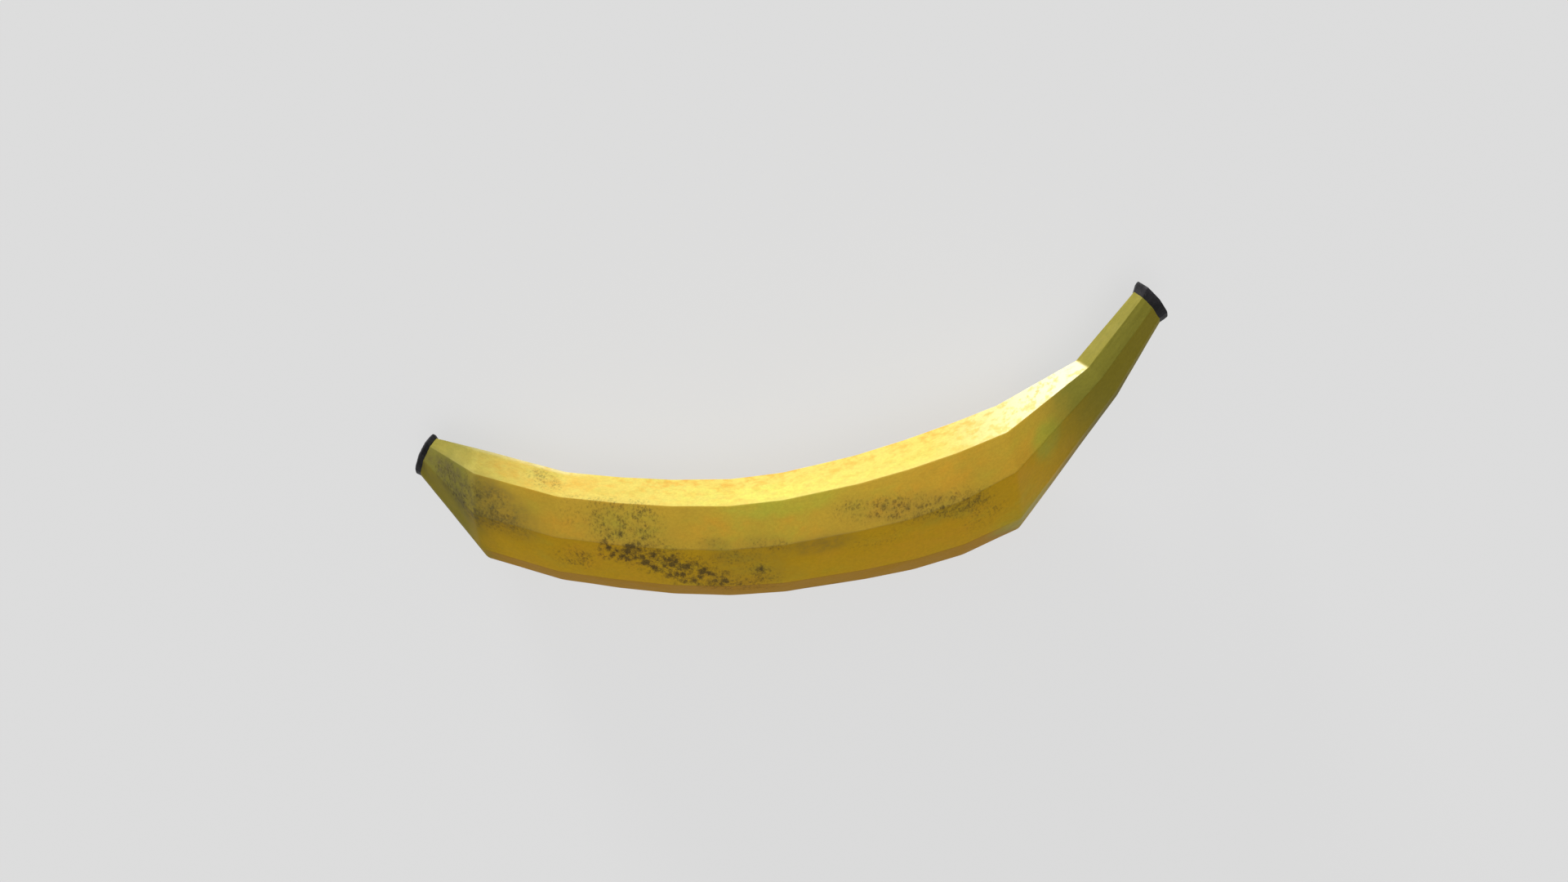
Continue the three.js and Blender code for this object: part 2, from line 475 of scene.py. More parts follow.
def outward_normals(points):
    """Unit normals of a grid of points whose rows are closed rings."""
    along = np.gradient(points, axis=0)
    around = np.roll(points, -1, axis=1) - np.roll(points, 1, axis=1)
    normals = np.cross(around, along)
    return normals / np.maximum(np.linalg.norm(normals, axis=2, keepdims=True), SHORTEST_NORMAL)


def grain(grown, sizes, octaves=2):
    """Fractal noise between about -1 and 1 on straightened points, with one grain size for each axis."""
    scaled = (grown / np.array(sizes)).reshape(-1, 3)
    values = [noise.fractal(Vector(point), OCTAVE_SMOOTHNESS, OCTAVE_STEP, octaves) for point in scaled]
    return np.array(values).reshape(grown.shape[:2])


def smooth_step(low, high, values):
    """Goes smoothly from 0 to 1 while the values go from low to high."""
    share = np.clip((values - low) / (high - low), 0, 1)
    return share * share * (3 - 2 * share)


def ridge_gap(places, place):
    """Distance round the section in ridges, the short way."""
    half = len(RIDGES) / 2
    return (places - place + half) % len(RIDGES) - half


def ovals(marks, distances, places):
    """How strongly a set of oval marks covers each point: 0 is not at all."""
    cover = np.zeros((len(distances), len(places)))
    for along, place, half_length, half_width, slant, strength in marks:
        offset = (distances - along)[:, None]
        gap = ridge_gap(places[None, :] - slant * offset, place)
        reach = np.sqrt((offset / half_length) ** 2 + (gap / half_width) ** 2)
        cover = np.maximum(cover, strength * (1 - smooth_step(*OVAL_FADES, reach)))
    return cover


def dents(places, distances, reaches):
    """Depth of the shallow dents at each point, in millimetres."""
    depth = np.zeros((len(distances), len(places)))
    facet_angle = 2 * math.pi / len(RIDGES)
    for along, place, radius, deepest in DENTS:
        across = ridge_gap(places, place)[None, :] * facet_angle * reaches[:, None]
        away = np.hypot((distances - along)[:, None], across)
        depth += deepest * (1 - smooth_step(0, radius, away))
    return depth


def mesh_of_rings(name, rings, attributes):
    """A mesh from rings of points in millimetres, kept in the solid's box and closed at both ends."""
    points = np.clip(rings, *(np.array(corner) / MM for corner in SOLID_BOX))
    rows, columns = points.shape[:2]
    vertices = np.vstack((points.reshape(-1, 3), points[:1].mean(1), points[-1:].mean(1))) * MM
    first_middle, last_middle = rows * columns, rows * columns + 1
    row, column = np.meshgrid(np.arange(rows - 1), np.arange(columns), indexing="ij")
    beside = (column + 1) % columns
    quads = np.stack((row * columns + column, row * columns + beside,
                      (row + 1) * columns + beside, (row + 1) * columns + column), -1).reshape(-1, 4)
    sides = [(side, (side + 1) % columns) for side in range(columns)]
    last_row = (rows - 1) * columns
    start_fan = [(first_middle, after, before) for before, after in sides]
    end_fan = [(last_middle, last_row + before, last_row + after) for before, after in sides]
    mesh = bpy.data.meshes.new(name)
    mesh.from_pydata(vertices.tolist(), [], quads.tolist() + start_fan + end_fan)
    mesh.shade_smooth()
    for attribute_name, values in attributes.items():
        kind = "FLOAT_VECTOR" if values.ndim == 3 else "FLOAT"
        flat = values.reshape(rows * columns, -1)
        flat = np.vstack((flat, flat[:columns].mean(0), flat[last_row:].mean(0)))
        attribute = mesh.attributes.new(attribute_name, kind, "POINT")
        field = "vector" if values.ndim == 3 else "value"
        attribute.data.foreach_set(field, flat.astype(np.float32).ravel())
    mesh.update()
    return mesh


def add_piece(name, mesh, material):
    """Puts a finished piece in the scene, on the fruit's body, in the solid's place."""
    piece = bpy.data.objects.new(name, mesh)
    bpy.context.scene.collection.objects.link(piece)
    mesh.materials.append(material)
    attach(piece, BODY)
    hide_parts(NODE)
    return piece


# ---- Materials ----

# Places of the colour sockets among all the sockets of a Mix node.
MIX_SHARE, MIX_FIRST, MIX_SECOND, MIX_RESULT = 0, 6, 7, 2

# Patterns of noise in the skin: how often each repeats in a metre along the fruit and across it
# both ways, its levels of detail, and how rough that detail is.
DRIFT = ((230, 320, 320), 5.0, 0.6)  # clouds of lemon and orange
MOTTLE = ((300, 380, 380), 5.0, 0.6)  # orange mottling, which also breaks up the wax
TINT = ((70, 130, 130), 4.0, 0.6)  # slow change between warmer and greener
PATCH_EDGES = ((200, 320, 320), 5.0, 0.6)  # ragged edges of russet, green and olive parts
DUST = ((1100, 1500, 1500), 4.0, 0.7)  # fine grain of the peel and of its haze
BLOTCHES = ((330, 420, 420), 4.0, 0.65)  # thick and thin parts of the haze
CROWDING = ((300, 340, 340), 4.0, 0.65)  # where specks and clots are larger
SPECK_EDGES = ((2400, 1800, 1800), 4.0, 0.75)
CLOT_EDGES = ((900, 800, 800), 5.0, 0.85)
FIBRES = ((120, 1500, 1500), 3.0, 0.6)
PORES = ((1900, 2200, 2200), 2.0, 0.5)
SHEEN = ((110, 220, 220), 4.0, 0.6)  # where the wax is duller or shinier
DRY_FIBRES = ((240, 1500, 1500), 5.0, 0.65)
DRY_PATCHES = ((300, 380, 380), 4.0, 0.6)
NOISE_MIDDLE = 0.5  # the noise swings to both sides of this value

# Dots: how many stand in a metre along the fruit and across it both ways, how ragged their edges
# are, how far they grow as a share of their spacing, and how soft their edges are.
SPECK_DOTS = ((1250, 1000, 1000), 2.6, 0.56, 0.8)
CLOT_DOTS = ((520, 450, 450), 2.3, 0.5, 0.55)
SPECKS_PALER_INSIDE = 0.16  # strength that specks lose on the inside of the bend

PEEL_SHINE = 0.17
SHEEN_CHANGE = 0.06  # change of the peel's roughness either way
SPECKS_DULLER = 0.15  # roughness that each of these adds
RUSSET_DULLER = 0.25
OLIVE_DULLER = 0.25

DRY_SHINE = 0.3
DRY_FIBRE_BEND = 0.3
SOOT_DULLER = 0.1  # roughness that the sooty hollows add
DRY_SMOOTHER = 0.08  # roughness that the dry skin round them loses

FLOOR_CLOUDS = 9.0  # how often the floor's unevenness repeats in a metre
FLOOR_PALER = 1.02  # brightness of its palest parts
FLOOR_ROUGHNESS = 0.9
FLOOR_SHINE = 0.1


class Board:
    """A material's node tree, with short calls for the nodes used here."""

    def __init__(self, name):
        self.material = bpy.data.materials.new(name)
        self.material.use_nodes = True
        self.tree = self.material.node_tree
        self.shader = self.tree.nodes["Principled BSDF"]

    def add(self, kind, inputs=(), **settings):
        node = self.tree.nodes.new(kind)
        for setting, value in settings.items():
            setattr(node, setting, value)
        for socket, value in dict(inputs).items():
            self.feed(node.inputs[socket], value)
        return node

    def feed(self, socket, value):
        if isinstance(value, bpy.types.NodeSocket):
            self.tree.links.new(value, socket)
        elif socket.type == "RGBA":
            socket.default_value = (*value, 1)
        else:
            socket.default_value = value

    def attribute(self, name, vector=False):
        node = self.add("ShaderNodeAttribute", attribute_name=name)
        return node.outputs["Vector" if vector else "Fac"]

    def stretched(self, vector, scale):
        node = self.add("ShaderNodeVectorMath", {0: vector, 1: scale}, operation="MULTIPLY")
        return node.outputs["Vector"]

    def noise(self, vector, scale, detail, roughness, distortion=0.0):
        node = self.add("ShaderNodeTexNoise", {
            "Vector": vector, "Scale": scale, "Detail": detail, "Roughness": roughness,
            "Distortion": distortion})
        return node.outputs["Fac"]

    def pattern(self, grown, kind, distortion=0.0):
        """Noise in one of the skin's patterns."""
        closeness, detail, roughness = kind
        return self.noise(self.stretched(grown, closeness), 1.0, detail, roughness, distortion)

    def cells(self, vector):
        """Distance to the nearest of the points that are scattered one to each unit."""
        node = self.add("ShaderNodeTexVoronoi", {"Vector": vector, "Scale": 1.0, "Randomness": 1.0})
        return node.outputs["Distance"]

    def math(self, operation, first, second, clamp=False):
        node = self.add("ShaderNodeMath", {0: first, 1: second}, operation=operation, use_clamp=clamp)
        return node.outputs["Value"]

    def times(self, first, second, clamp=False):
        return self.math("MULTIPLY", first, second, clamp)

    def between(self, value, low, high, start=0.0, end=1.0):
        """Goes smoothly from start to end while the value goes from low to high."""
        node = self.add("ShaderNodeMapRange", {
            "Value": value, "From Min": low, "From Max": high, "To Min": start, "To Max": end},
            interpolation_type="SMOOTHSTEP")
        return node.outputs["Result"]

    def mix(self, share, first, second):
        node = self.add("ShaderNodeMix", data_type="RGBA", clamp_factor=True)
        for place, value in ((MIX_SHARE, share), (MIX_FIRST, first), (MIX_SECOND, second)):
            self.feed(node.inputs[place], value)
        return node.outputs[MIX_RESULT]

    def brightened(self, colour, factor):
        node = self.add("ShaderNodeVectorMath", {0: colour, "Scale": factor}, operation="SCALE")
        return node.outputs["Vector"]

    def bump(self, height, depth, normal=None):
        node = self.add("ShaderNodeBump", {"Height": height, "Distance": depth, "Strength": 1.0})
        if normal is not None:
            self.feed(node.inputs["Normal"], normal)
        return node.outputs["Normal"]

    def finish(self, **sockets):
        for socket, value in sockets.items():
            self.feed(self.shader.inputs[socket.replace("_", " ")], value)
        return self.material


def peel_ground(board, grown, settings):
    """The peel's colour before its marks: a tone for each side, the inside partly painted light, warm
    clouds, lemon and a pale bloom that is partly a painted highlight.
    """
    drift = board.pattern(grown, DRIFT)
    mottle = board.pattern(grown, MOTTLE)
    tint = board.pattern(grown, TINT)
    colour = board.mix(board.attribute("outer"), settings.gold, settings.deep)
    # Lemon on the inside of the bend, partly painted light: that side is painted lighter where the side
    # light falls.
    colour = board.mix(board.attribute("inside"), colour, settings.lemon)
    clouds = (
        ("lemon", board.between(drift, low=0.3, high=0.62), settings.bright),
        ("mottle", board.between(mottle, low=0.42, high=0.68), settings.orange),
        ("warm", board.between(drift, low=0.3, high=0.7), settings.orange),
    )
    for name, thickness, tone in clouds:
        colour = board.mix(board.times(board.attribute(name), thickness), colour, tone)
    warmer = board.between(tint, low=0.5, high=0.75, end=0.2)
    colour = board.mix(warmer, colour, settings.orange)
    greener = board.between(tint, low=0.5, high=0.25, end=0.24)
    colour = board.mix(greener, colour, settings.green)
    # Pale waxy bloom, partly a painted highlight, broken up by the mottling.
    broken = board.between(mottle, low=0.64, high=0.46, start=0.3)
    wax_and_highlight = board.times(board.attribute("pale"), broken)
    return board.mix(wax_and_highlight, colour, settings.pale)


def ragged_share(board, name, edges, raggedness):
    """The share of a tone on the peel: solid in the middle of its patch, ragged round the edge."""
    shift = board.times(board.math("SUBTRACT", edges, NOISE_MIDDLE), raggedness)
    return board.between(board.math("ADD", board.attribute(name), shift), low=0.1, high=0.9)


def peel_colour(board, grown, settings):
    """The peel's ground with its russet, green and olive parts, its grey hazy patches, partly painted
    shade near the stem, and a fine grain.
    """
    edges = board.pattern(grown, PATCH_EDGES)
    dust = board.pattern(grown, DUST)
    blotches = board.pattern(grown, BLOTCHES)
    colour = peel_ground(board, grown, settings)
    olive = board.mix(board.attribute("outer"), settings.olive, settings.dusk)
    tones = (
        ("russet", settings.russet, 0.7),
        ("green", settings.green, 0.5),
        ("olive", olive, 0.25),
    )
    for name, tone, raggedness in tones:
        colour = board.mix(ragged_share(board, name, edges, raggedness), colour, tone)
    thickness = board.times(
        board.between(blotches, low=0.35, high=0.62, start=0.6, end=1.3),
        board.between(dust, low=0.34, high=0.66, start=0.5, end=1.12))
    # Dull grey patches, with painted shade on the lower outside facet near the stem.
    haze_and_shade = board.times(board.attribute("haze_and_shade"), thickness, clamp=True)
    colour = board.mix(haze_and_shade, colour, settings.haze_and_shade)
    return board.brightened(colour, board.between(dust, low=0.3, high=0.7, start=0.93, end=1.07))


def dots(board, grown, kind, cover, edges):
    """Ragged dots scattered over the peel, which grow with the cover."""
    closeness, raggedness, largest, softness = kind
    away = board.cells(board.stretched(grown, closeness))
    shift = board.times(board.math("SUBTRACT", edges, NOISE_MIDDLE), raggedness)
    depth_in = board.math("SUBTRACT", board.times(cover, largest), board.math("ADD", away, shift))
    present = board.between(cover, low=0.02, high=0.25)
    return board.times(board.between(depth_in, low=-softness / 2, high=softness / 2), present)


def speck_cover(board, grown):
    """Where dark specks and clots lie, from 0 to 1."""
    speck_edges = board.pattern(grown, SPECK_EDGES)
    clot_edges = board.pattern(grown, CLOT_EDGES)
    crowding = board.pattern(grown, CROWDING)

    larger = board.between(crowding, low=0.34, high=0.62, start=0.6, end=1.1)
    specks = board.times(board.attribute("specks"), larger)
    darker = board.between(crowding, low=0.3, high=0.65, start=0.32, end=0.62)
    paler_inside = board.times(board.attribute("inside"), SPECKS_PALER_INSIDE)
    strength = board.times(
        board.math("SUBTRACT", darker, paler_inside),
        board.between(specks, low=0, high=1, start=0.3))
    faint = board.times(dots(board, grown, SPECK_DOTS, specks, speck_edges), strength)

    larger = board.between(crowding, low=0.36, high=0.6, start=0.84, end=1.06)
    clots = board.times(board.attribute("clots"), larger)
    strength = board.times(
        board.between(clots, low=0, high=1, start=0.5, end=0.9),
        board.between(speck_edges, low=0.3, high=0.65, start=0.72))
    deep = board.times(dots(board, grown, CLOT_DOTS, clots, clot_edges), strength)
    return board.math("MAXIMUM", faint, deep)


def peel_material(settings):
    """Waxy ripe peel: clouds of gold, olive ends, green patches, hazy patches with some painted shade,
    specks, pores and fibres.
    """
    board = Board("peel")
    grown = board.attribute("grown", vector=True)
    specks = speck_cover(board, grown)
    colour = board.mix(specks, peel_colour(board, grown, settings), settings.speck)
    roughness = board.between(
        board.pattern(grown, SHEEN), low=0.3, high=0.7,
        start=settings.roughness - SHEEN_CHANGE, end=settings.roughness + SHEEN_CHANGE)
    duller = (
        (specks, SPECKS_DULLER),
        (board.attribute("russet"), RUSSET_DULLER),
        (board.attribute("olive"), OLIVE_DULLER),
    )
    for share, added in duller:
        roughness = board.math("ADD", roughness, board.times(share, added), clamp=True)
    normal = board.bump(board.pattern(grown, FIBRES), settings.pore_depth)
    normal = board.bump(board.pattern(grown, PORES), settings.pore_depth / 2, normal)
    normal = board.bump(board.math("SUBTRACT", 1.0, specks), settings.pore_depth, normal)
    return board.finish(
        Base_Color=colour, Roughness=roughness, Normal=normal, Specular_IOR_Level=PEEL_SHINE)


def dry_material(name, settings):
    """Dried black skin with paler fibres along it and sooty hollows."""
    board = Board(name)
    grown = board.attribute("grown", vector=True)
    fibres = board.pattern(grown, DRY_FIBRES, DRY_FIBRE_BEND)
    patches = board.pattern(grown, DRY_PATCHES)
    dry = board.between(patches, low=0.35, high=0.65)
    colour = board.mix(dry, settings.soot, settings.dry)
    dusty = board.between(fibres, low=0.55, high=0.75, end=0.7)
    colour = board.mix(dusty, colour, settings.dust)
    roughness = board.between(
        patches, low=0.3, high=0.7,
        start=settings.roughness + SOOT_DULLER, end=settings.roughness - DRY_SMOOTHER)
    normal = board.bump(fibres, settings.crack_depth / 2)
    return board.finish(
        Base_Color=colour, Roughness=roughness, Normal=normal, Specular_IOR_Level=DRY_SHINE)


def floor_material(settings):
    """A pale matt table that also glows a little, with a faint unevenness."""
    board = Board("pale_floor")
    place = board.add("ShaderNodeTexCoord").outputs["Object"]
    uneven = board.noise(place, FLOOR_CLOUDS, detail=2.0, roughness=0.5)
    paler = tuple(min(1.0, channel * FLOOR_PALER) for channel in settings.floor)
    colour = board.mix(uneven, settings.floor, paler)
    return board.finish(
        Base_Color=colour, Roughness=FLOOR_ROUGHNESS, Specular_IOR_Level=FLOOR_SHINE,
        Emission_Color=(1.0, 1.0, 1.0), Emission_Strength=settings.floor_glow)


# ---- Pieces ----

# Lengths here are millimetres. A pair of distances from the blossom rim says where a thing
# starts to grow, or to fade, and where that ends.
PEEL_UNDER_COLLAR = 0.5  # length of peel that runs on under each collar
TUCK = 0.35  # how far the peel draws in there
NECK = 210.6  # where the belly meets the stem

# Relief of the peel: size of each kind along the fruit and across it both ways.
WAVES = (17, 12, 12)
FLUTES = (60, 2.6, 2.6)
GROOVES = (22, 0.85, 0.85)
FLUTE_SHARE = 0.35  # height of the flutes as a share of the waves'
WRINKLE_SHARE = 0.5  # depth of the blossom's wrinkles as a share of the stem's grooves
STEM_GROOVES_GROW = (196, 222)
BLOSSOM_WRINKLES_FADE = (0, 14)

# Tones of the peel. A share is how strong a tone is.
NECK_EDGE = (NECK - 1, NECK + 0.5)
OLIVE_NECK_GROWS = (171, 214)
OLIVE_BLOSSOM_FADES = (6, 40)
OLIVE_FURTHER_INSIDE = 16  # how much further the olive reaches on the inside of the bend
OLIVE_SHARE = 1.05
OLIVE_LESS_OUTSIDE = 0.15  # share that the stem's olive loses round the outside
OLIVE_LESS_INSIDE = 0.35  # share that the blossom end's olive loses on the inside
OLIVE_STEM_INSIDE = 0.74  # share of olive on the inside of the stem
# Where the pale waxy bloom grows towards the neck; it is partly a painted highlight.
WAX_AND_HIGHLIGHT_GROWS = (150, NECK - 8)
# A painted highlight along ridge 0 near the blossom: where it grows and fades, its width and its strength.
RIM_HIGHLIGHT_GROWS = (2, 14)
RIM_HIGHLIGHT_FADES = (44, 56)
RIM_HIGHLIGHT_WIDTH = 0.16  # in ridges
RIM_HIGHLIGHT_SHARE = 0.5
MOTTLING_GROWS = (36, 70)
MOTTLE_SHARE = 0.65
MOTTLE_LOST_IN_WAX_AND_HIGHLIGHT = 0.65
MOTTLE_LOST_ROUND = 0.8  # share lost across the upper inner facet, away from ridge 0
MOTTLE_LOWER = 0.6  # share on the lower inner facet
RUSSET_GROWS = (18, 26)
RUSSET_FADES = (166, 182)
RUSSET_FADES_ROUND = (4.05, 4.8)  # places round the section, in ridges
RUSSET_SHARE = 0.9
WARM_SHARE = 0.6
GREEN_SHARE = 0.6
GREEN_LOST_INSIDE = 0.8
HAZE_AND_SHADE_SHARE = 0.75

# The dry ends. Shares out go from 0 at the collar to 1 at the rim.
FLARE_RINGS = 18
ROOT_DEPTH = 1.2  # how deep a dry end reaches into the peel
ROOT_WIDTHS = (0.6, 0.9)  # its rings there, as shares of the peel's
LIP_FADES = (0.8, 1.0)  # shares out
CRACKS_GROW = (0.05, 0.35)  # shares out
CRACKS = (2.6, 0.5, 0.5)  # size along the fruit and across it both ways
FACE_GRAIN = (1.5, 0.8, 0.8)
FACE_GRAIN_GROWS = (0.02, 0.3)  # shares in from the rim
FACE_GRAIN_DEPTH = 1.4  # as a share of the cracks' depth
DRY_OCTAVES = 3


def peel_relief(form, distances, reaches, grown, settings):
    """Height of the peel's fine relief in millimetres."""
    stem = smooth_step(*STEM_GROOVES_GROW, distances)[:, None]
    blossom = 1 - smooth_step(*BLOSSOM_WRINKLES_FADE, distances)[:, None]
    waves = grain(grown, WAVES) * settings.waviness / MM
    flutes = grain(grown, FLUTES) * settings.waviness / MM * FLUTE_SHARE
    grooves = grain(grown, GROOVES) * (stem + WRINKLE_SHARE * blossom) * settings.groove_depth / MM
    return waves + flutes + grooves - dents(form.places, distances, reaches)


def on_facets(places, *facets):
    """1 on the points of these facets and 0 elsewhere."""
    return np.isin(np.floor(places).astype(int) % len(RIDGES), facets).astype(float)[None, :]


def olive_tone(places, along):
    """Olive at both ends. On the inside of the bend it starts abruptly at the neck."""
    inside = on_facets(places, INNER_LOWER, INNER_UPPER)
    less = OLIVE_LESS_OUTSIDE * on_facets(places, OUTER_UPPER, OUTER_LOWER)
    outside = (1 - inside) * (OLIVE_SHARE - less)
    stem = OLIVE_STEM_INSIDE * inside * smooth_step(*NECK_EDGE, along) \
        + outside * smooth_step(*OLIVE_NECK_GROWS, along)
    fade_from, fade_to = OLIVE_BLOSSOM_FADES
    blossom = 1 - smooth_step(fade_from, fade_to + OLIVE_FURTHER_INSIDE * inside, along)
    return np.maximum(stem, (OLIVE_SHARE - OLIVE_LESS_INSIDE * inside) * blossom)


def pale_tone(places, along):
    """Waxy bloom on the inside of the bend up to the neck, partly a painted highlight, and a painted
    highlight by ridge 0 near the blossom.
    """
    inside = on_facets(places, INNER_LOWER, INNER_UPPER)
    wax_and_highlight = inside * smooth_step(*WAX_AND_HIGHLIGHT_GROWS, along) * (1 - smooth_step(*NECK_EDGE, along))
    # A painted highlight along ridge 0 near the blossom.
    rim = on_facets(places, INNER_UPPER) * (1 - smooth_step(0, RIM_HIGHLIGHT_WIDTH, places % 1))[None, :] \
        * smooth_step(*RIM_HIGHLIGHT_GROWS, along) * (1 - smooth_step(*RIM_HIGHLIGHT_FADES, along))
    return np.maximum(wax_and_highlight, RIM_HIGHLIGHT_SHARE * rim)


def mottle_tone(places, along):
    """Orange mottling on the inside of the bend, strongest by ridge 0 and weaker in the pale waxy bloom
    and its painted highlight.
    """
    inside = on_facets(places, INNER_UPPER) * (1 - MOTTLE_LOST_ROUND * (places % 1)[None, :]) \
        + MOTTLE_LOWER * on_facets(places, INNER_LOWER)
    not_wax_or_highlight = 1 - MOTTLE_LOST_IN_WAX_AND_HIGHLIGHT * smooth_step(*WAX_AND_HIGHLIGHT_GROWS, along)
    return MOTTLE_SHARE * inside * smooth_step(*MOTTLING_GROWS, along) * not_wax_or_highlight


def russet_tone(places, along):
    """Russet low on the outside of the bend, which fades towards the underside."""
    fading = on_facets(places, OUTER_UNDER) * (1 - smooth_step(*RUSSET_FADES_ROUND, places))[None, :]
    strip = (on_facets(places, OUTER_LOWER) + fading) * smooth_step(*RUSSET_GROWS, along)
    return RUSSET_SHARE * strip * (1 - smooth_step(*RUSSET_FADES, along))


def peel_attributes(form, distances, grown):
    """Where each tone and mark lies on the peel, and the straightened place of every point."""
    places, along = form.places, distances[:, None]
    inside = on_facets(places, INNER_LOWER, INNER_UPPER)
    everywhere = np.ones((len(distances), len(places)))
    green_left = 1 - GREEN_LOST_INSIDE * inside
    return {
        "grown": grown * MM,
        "inside": inside * everywhere,
        "outer": on_facets(places, OUTER_UPPER, OUTER_LOWER, OUTER_UNDER) * everywhere,
        "mottle": mottle_tone(places, along),
        "warm": WARM_SHARE * ovals(ORANGE_CLOUDS, distances, places),
        "lemon": ovals(LEMON_PATCHES, distances, places) * inside,
        # pale waxy bloom near the neck, partly a painted highlight, and a painted highlight by ridge 0
        "pale": pale_tone(places, along),
        "olive": olive_tone(places, along),
        "green": GREEN_SHARE * ovals(GREEN_PATCHES, distances, places) * green_left,
        "russet": russet_tone(places, along),
        "haze_and_shade": HAZE_AND_SHADE_SHARE * ovals(GREY_HAZE_AND_SHADE, distances, places),
        "specks": ovals(FINE_SPECKS, distances, places),
        "clots": ovals(DARK_CLOTS, distances, places),
    }


def build_peel(settings):
    form = Form(settings)
    blossom_collar, stem_collar = form.along[BLOSSOM_COLLAR], form.along[STEM_COLLAR]
    distances = np.linspace(
        blossom_collar - PEEL_UNDER_COLLAR, stem_collar + PEEL_UNDER_COLLAR, settings.steps_along)
    points, reaches = form.surface(distances)
    grown = form.straightened(distances, reaches)
    relief = peel_relief(form, distances, reaches, grown, settings)
    under = np.maximum(blossom_collar - distances, distances - stem_collar)
    relief -= TUCK * np.clip(under / PEEL_UNDER_COLLAR, 0, 1)[:, None]
    points += outward_normals(points) * relief[:, :, None]
    mesh = mesh_of_rings("peel", points, peel_attributes(form, distances, grown))
    return add_piece("peel", mesh, peel_material(settings))


def flared_rings(form, collar, rim, settings):
    """Rings of a dry end: its root inside the peel, then its lip and flare out to its rim."""
    outward = 1 if rim > collar else -1
    roots = len(ROOT_WIDTHS)
    root = form.along[collar] - outward * ROOT_DEPTH
    flare = np.linspace(form.along[collar], form.along[rim], FLARE_RINGS)
    distances = np.concatenate((np.full(roots, root), flare))
    points, reaches = form.surface(distances)
    grown = form.straightened(distances, reaches)
    normals = outward_normals(points) * outward
    for ring, width in enumerate(ROOT_WIDTHS):
        middle = points[ring].mean(0)
        points[ring] = middle + (points[ring] - middle) * width
    shares_out = np.linspace(0, 1, FLARE_RINGS)[:, None]
    lip = settings.lip / MM * (1 - smooth_step(*LIP_FADES, shares_out))
    cracks = np.abs(grain(grown, CRACKS, DRY_OCTAVES))[roots:] * smooth_step(*CRACKS_GROW, shares_out)
    points[roots:] += normals[roots:] * (lip - cracks * settings.crack_depth / MM)[:, :, None]
    return points, grown


def face_rings(rim_ring, rim_grown, face, axis, settings):
    """Rings that close a dry end, from just inside its rim to its middle."""
    shares = np.array([share for share, _out in face])[:, None]
    outs = np.array([out for _share, out in face])[:, None]
    middle = rim_ring.mean(0)
    points = middle + (rim_ring - middle) * shares[:, :, None]
    grown = np.repeat(rim_grown[None], len(face), axis=0)
    grown[:, :, 1:] *= shares[:, :, None]
    rough = grain(grown, FACE_GRAIN, DRY_OCTAVES) * smooth_step(*FACE_GRAIN_GROWS, 1 - shares)
    points += axis * (outs + rough * settings.crack_depth / MM * FACE_GRAIN_DEPTH)[:, :, None]
    return points, grown


def build_end(name, collar, rim, face, peel, settings):
    form = Form(peel)
    flare, flare_grown = flared_rings(form, collar, rim, settings)
    collar_points, _reaches = form.surface([form.along[collar]])
    axis = flare[-1].mean(0) - collar_points[0].mean(0)
    axis /= np.linalg.norm(axis)
    closing, closing_grown = face_rings(flare[-1], flare_grown[-1], face, axis, settings)
    rings = np.vstack((flare, closing))
    grown = np.vstack((flare_grown, closing_grown))
    if rim < collar:
        rings, grown = rings[::-1], grown[::-1]
    mesh = mesh_of_rings(name, rings, {"grown": grown * MM})
    return add_piece(name, mesh, dry_material(name, settings))


# ---- Stage ----

FLOOR_SIZE = 8.0
HORIZON_BAND = (0.08, 0.2)  # sine of the height at which the surround starts and ends getting darker
SIDE_LIGHT_SPREAD = math.radians(14)
TOP_LIGHT_SPREAD = math.radians(40)
TOP_LIGHT_TURN = math.pi  # it leans towards the outside of the bend
NEAREST_SEEN = 0.01  # metres from the camera


def build_floor(settings):
    half = FLOOR_SIZE / 2
    mesh = bpy.data.meshes.new("floor")
    corners = [(-half, -half, 0), (half, -half, 0), (half, half, 0), (-half, half, 0)]
    mesh.from_pydata(corners, [], [(0, 1, 2, 3)])
    mesh.materials.append(floor_material(settings))
    floor = bpy.data.objects.new("floor", mesh)
    bpy.context.scene.collection.objects.link(floor)


def add_light(name, strength, spread, height, turn):
    """A soft light from far away: its height above the floor and its turn from +Y towards -X."""
    lamp = bpy.data.lights.new(name, "SUN")
    lamp.energy = strength
    lamp.angle = spread
    light = bpy.data.objects.new(name, lamp)
    light.rotation_euler = (math.pi / 2 - height, 0, math.pi + turn)
    bpy.context.scene.collection.objects.link(light)


def build_surround(settings):
    """An even surround: as bright as the floor near the horizon, darker above."""
    world = bpy.data.worlds.new("surround")
    world.use_nodes = True
    tree = world.node_tree
    direction = tree.nodes.new("ShaderNodeTexCoord").outputs["Generated"]
    parts = tree.nodes.new("ShaderNodeSeparateXYZ")
    fade = tree.nodes.new("ShaderNodeMapRange")
    fade.interpolation_type = "SMOOTHSTEP"
    sockets = ("From Min", "From Max", "To Min", "To Max")
    for socket, value in zip(sockets, (*HORIZON_BAND, settings.horizon, settings.sky)):
        fade.inputs[socket].default_value = value
    background = tree.nodes["Background"]
    background.inputs["Color"].default_value = (1, 1, 1, 1)
    tree.links.new(direction, parts.inputs[0])
    tree.links.new(parts.outputs["Z"], fade.inputs["Value"])
    tree.links.new(fade.outputs["Result"], background.inputs["Strength"])
    bpy.context.scene.world = world


def build_lights(settings):
    add_light("side_light", settings.side_light, SIDE_LIGHT_SPREAD,
              settings.side_light_height, settings.side_light_turn)
    add_light("top_light", settings.top_light, TOP_LIGHT_SPREAD,
              settings.top_light_height, TOP_LIGHT_TURN)
    build_surround(settings)


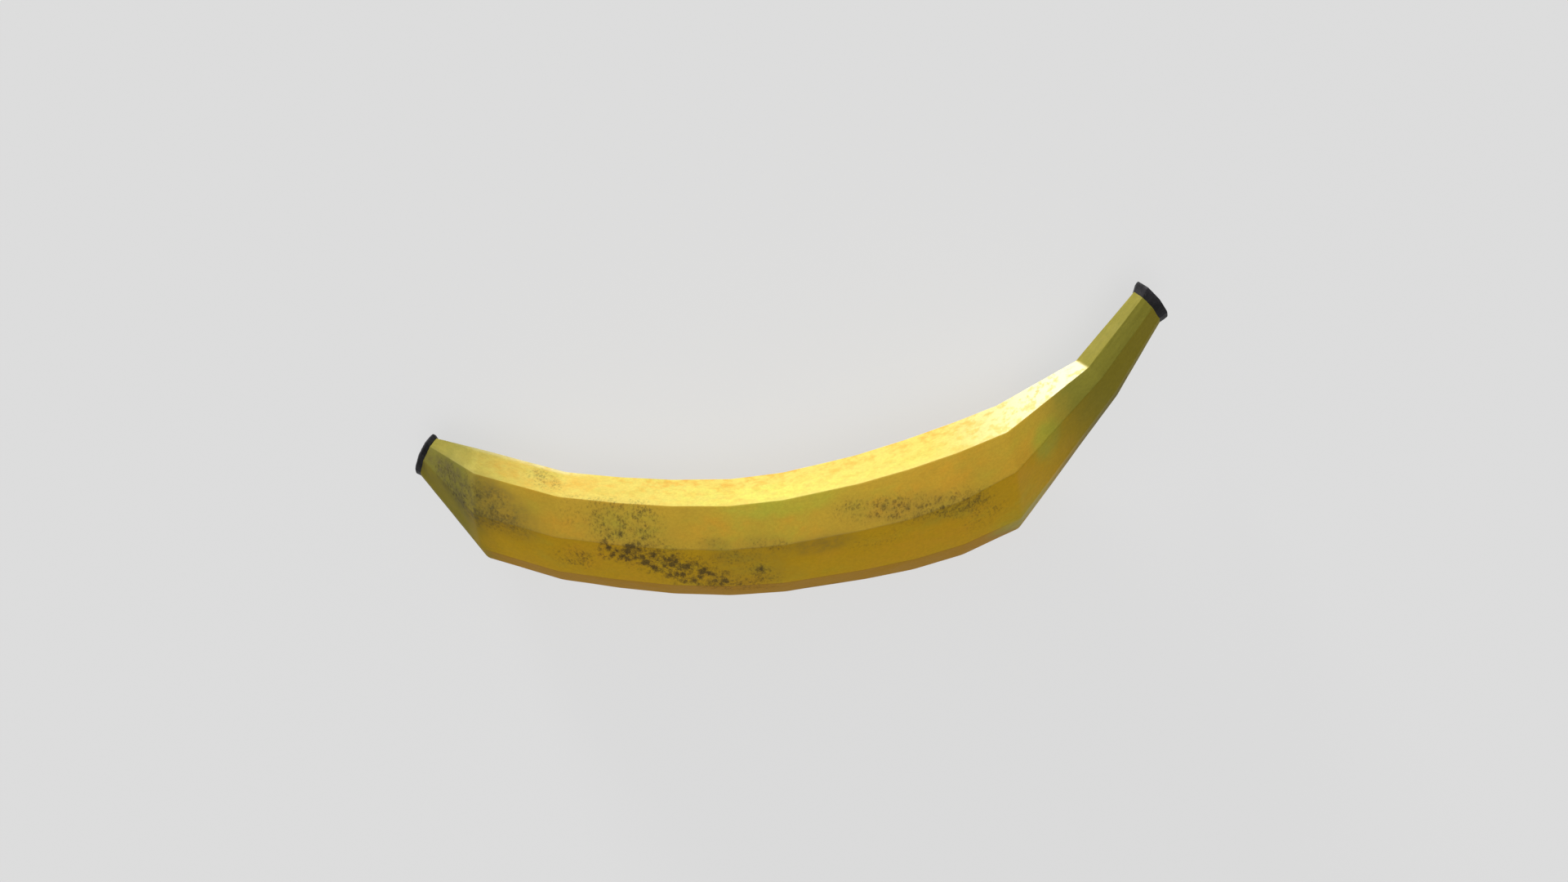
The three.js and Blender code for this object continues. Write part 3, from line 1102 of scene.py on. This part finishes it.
def build_camera(settings):
    aim = Vector(settings.aim)
    back = Vector((0, math.sin(settings.lean), math.cos(settings.lean)))
    camera_data = bpy.data.cameras.new("camera")
    camera_data.lens = settings.lens
    camera_data.clip_start = NEAREST_SEEN
    camera = bpy.data.objects.new("camera", camera_data)
    camera.location = aim + back * settings.distance
    camera.rotation_euler = (-settings.lean, 0, 0)
    bpy.context.scene.collection.objects.link(camera)
    bpy.context.scene.camera = camera


# ---- Operators, panel and registration ----

class BANANA_OT_build_peel(bpy.types.Operator):
    """Builds the ridged peel, from under the blossom collar to under the stem collar"""
    bl_idname = "banana.build_peel"
    bl_label = "Build peel"

    def execute(self, context):
        build_peel(context.scene.banana_peel)
        return {"FINISHED"}


class BANANA_OT_build_ends(bpy.types.Operator):
    """Builds the dry flared stem end and the small dark blossom end"""
    bl_idname = "banana.build_ends"
    bl_label = "Build dry ends"

    def execute(self, context):
        peel, ends = context.scene.banana_peel, context.scene.banana_ends
        build_end("stem_end", STEM_COLLAR, STEM_RIM, STEM_FACE, peel, ends)
        build_end("blossom_end", BLOSSOM_COLLAR, BLOSSOM_RIM, BLOSSOM_FACE, peel, ends)
        return {"FINISHED"}


class BANANA_OT_set_stage(bpy.types.Operator):
    """Sets the pale floor, the soft lights and the camera"""
    bl_idname = "banana.set_stage"
    bl_label = "Set stage"

    def execute(self, context):
        settings = context.scene.banana_stage
        context.scene.view_settings.view_transform = "Standard"
        build_floor(settings)
        build_lights(settings)
        build_camera(settings)
        return {"FINISHED"}


class BANANA_PT_panel(bpy.types.Panel):
    """Lists the banana's pieces and their settings"""
    bl_label = "Banana"
    bl_idname = "BANANA_PT_panel"
    bl_space_type = "VIEW_3D"
    bl_region_type = "UI"
    bl_category = "Banana"

    def draw(self, context):
        for operator, settings in (
                (BANANA_OT_build_peel, context.scene.banana_peel),
                (BANANA_OT_build_ends, context.scene.banana_ends),
                (BANANA_OT_set_stage, context.scene.banana_stage)):
            box = self.layout.box()
            box.operator(operator.bl_idname)
            for name in settings.__annotations__:
                box.prop(settings, name)


CLASSES = (
    BananaPeelSettings,
    BananaEndSettings,
    BananaStageSettings,
    BANANA_OT_build_peel,
    BANANA_OT_build_ends,
    BANANA_OT_set_stage,
    BANANA_PT_panel,
)


def register():
    for item in CLASSES:
        bpy.utils.register_class(item)
    bpy.types.Scene.banana_peel = PointerProperty(type=BananaPeelSettings)
    bpy.types.Scene.banana_ends = PointerProperty(type=BananaEndSettings)
    bpy.types.Scene.banana_stage = PointerProperty(type=BananaStageSettings)


def unregister():
    del bpy.types.Scene.banana_stage
    del bpy.types.Scene.banana_ends
    del bpy.types.Scene.banana_peel
    for item in reversed(CLASSES):
        bpy.utils.unregister_class(item)


def main():
    register()
    bpy.ops.banana.build_peel()
    bpy.ops.banana.build_ends()
    bpy.ops.banana.set_stage()


if __name__ == "__main__":
    main()
